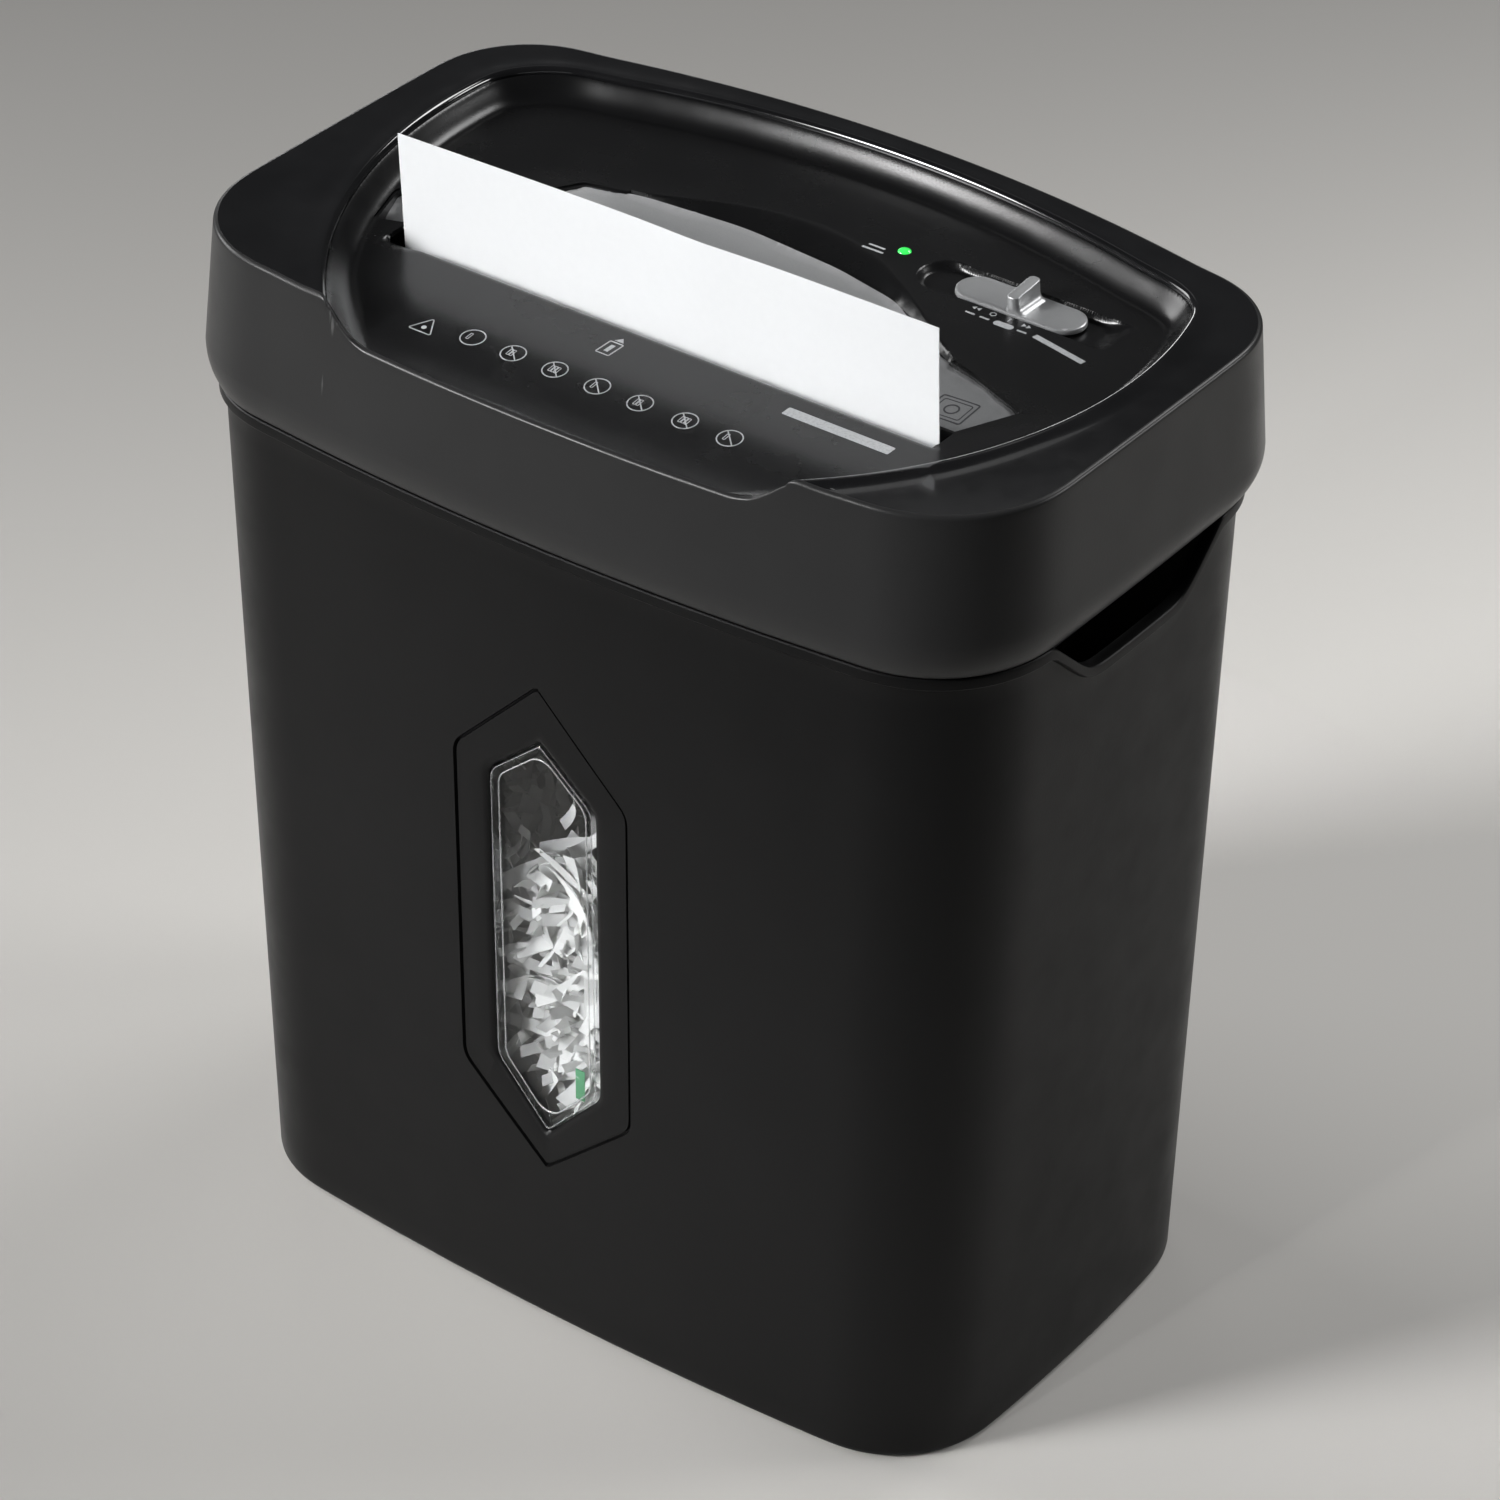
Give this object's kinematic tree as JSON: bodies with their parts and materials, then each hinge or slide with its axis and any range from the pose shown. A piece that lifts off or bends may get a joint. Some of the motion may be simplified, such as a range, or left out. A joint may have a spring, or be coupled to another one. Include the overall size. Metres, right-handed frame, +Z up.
{
  "type": "paper shredder",
  "caption": "Upright paper shredder: lift-off cutting head with top feed slot, mode slider and status light, on a tapered waste bin with side handholds and a hexagonal window.",
  "frame": {"origin": "middle of the bin's underside, where the object stands on the floor", "axes": "+Z up, -Y towards the front with the window, +X towards the side with the mode slider"},
  "size_m": [0.3374, 0.2132, 0.413],
  "materials": {
    "bin_plastic": "fine-grained matte black",
    "clear_plastic": "clear polycarbonate-like pane",
    "shredded_paper": "loose cross-cut shreds",
    "head_plastic": "satin charcoal, spark-eroded grain",
    "gloss_black": "piano black, polished",
    "panel_plastic": "satin black with light grey print",
    "silver_plastic": "metallic silver-grey paint on plastic",
    "dark_plastic": "moulded dark plastic",
    "switch_silver": "satin silver plating",
    "led_green": "lit green lens",
    "board_green": "solder-masked laminate",
    "component_mix": "component cases",
    "red_plastic": "moulded red plunger",
    "black_rubber": "moulded rubber ring",
    "plate_steel": "zinc-plated sheet steel",
    "rod_steel": "turned bright steel",
    "cutter_steel": "oiled hardened steel",
    "bronze": "sintered bronze",
    "comb_plastic": "glass-filled black plastic",
    "gear_steel": "sintered steel, greased",
    "gear_nylon": "natural nylon, greased",
    "motor_steel": "zinc-plated drawn steel",
    "copper_windings": "varnished copper and laminations",
    "carbon": "pressed carbon",
    "red_wire": "PVC insulation",
    "screw_steel": "zinc-plated screw",
    "white_paper": "plain copier paper"
  },
  "bodies": {
    "bin": {"bin_shell": "bin_plastic", "bin_window": "clear_plastic", "paper_shreds": "shredded_paper"},
    "head": {"head_shell": "head_plastic", "top_rim": "gloss_black", "top_panel": "panel_plastic", "paper_guide": "silver_plastic", "head_base": "dark_plastic", "cutter_tray": "dark_plastic", "feed_throat": "dark_plastic", "paper_sensors": "dark_plastic", "status_led": "led_green", "mode_switch": "dark_plastic", "circuit_board": "board_green", "board_parts": "component_mix", "interlock_switch": "dark_plastic", "cord_grommet": "black_rubber", "left_side_plate": "plate_steel", "right_side_plate": "plate_steel", "tie_rods": "rod_steel", "cutter_bushings": "bronze", "front_comb": "comb_plastic", "rear_comb": "comb_plastic", "gear_axles": "rod_steel", "gearbox_cover": "dark_plastic", "motor_can": "motor_steel", "motor_stator": "copper_windings", "motor_end_bell": "dark_plastic", "motor_brushes": "carbon", "motor_leads": "red_wire", "switch_leads": "red_wire", "base_screws": "screw_steel", "panel_screws": "screw_steel", "gearbox_screws": "screw_steel", "motor_screws": "screw_steel"},
    "mode_slider": {"mode_slider": "switch_silver"},
    "interlock_plunger": {"interlock_plunger": "red_plastic"},
    "rear_cutter": {"rear_cutter": "cutter_steel", "rear_timing_gear": "gear_steel", "cutter_gear": "gear_steel"},
    "front_cutter": {"front_cutter": "cutter_steel", "front_timing_gear": "gear_steel"},
    "second_gear": {"second_gear": "gear_nylon"},
    "first_gear": {"first_gear": "gear_nylon"},
    "motor_rotor": {"motor_rotor": "motor_steel"},
    "paper_sheet": {"paper_sheet": "white_paper"}
  },
  "joints": [
    {"name": "head_lift", "type": "slide", "parent": "bin", "child": "head", "axis": [0, 0, 1], "range_m": [0, 0.15]},
    {"name": "slider_travel", "type": "slide", "parent": "head", "child": "mode_slider", "axis": [1, 0, 0], "range_m": [-0.0134, 0.0066]},
    {"name": "interlock_press", "type": "slide", "parent": "head", "child": "interlock_plunger", "axis": [0, 0, 1], "range_m": [0, 0.002], "stiffness_N_per_m": 200, "springref_m": -0.002},
    {"name": "rear_cutter_spin", "type": "hinge", "parent": "head", "child": "rear_cutter", "pos_m": [0, -0.018, 0.338], "axis": [1, 0, 0], "continuous": true},
    {"name": "front_cutter_spin", "type": "hinge", "parent": "head", "child": "front_cutter", "pos_m": [0, -0.05, 0.338], "axis": [1, 0, 0], "continuous": true},
    {"name": "second_gear_spin", "type": "hinge", "parent": "head", "child": "second_gear", "pos_m": [0, 0.012, 0.338], "axis": [1, 0, 0], "continuous": true},
    {"name": "first_gear_spin", "type": "hinge", "parent": "head", "child": "first_gear", "pos_m": [0, 0.03825, 0.338], "axis": [1, 0, 0], "continuous": true},
    {"name": "motor_spin", "type": "hinge", "parent": "head", "child": "motor_rotor", "pos_m": [0, 0.06125, 0.338], "axis": [1, 0, 0], "continuous": true},
    {"name": "sheet_feed", "type": "slide", "parent": "head", "child": "paper_sheet", "axis": [0, 0, 1], "range_m": [0, 0.07]}
  ],
  "couplings": [
    {"joint": "front_cutter_spin", "follows": "rear_cutter_spin", "ratio": -1},
    {"joint": "second_gear_spin", "follows": "rear_cutter_spin", "ratio": -2.3333},
    {"joint": "first_gear_spin", "follows": "rear_cutter_spin", "ratio": 7.4667},
    {"joint": "motor_spin", "follows": "rear_cutter_spin", "ratio": -26.88}
  ]
}
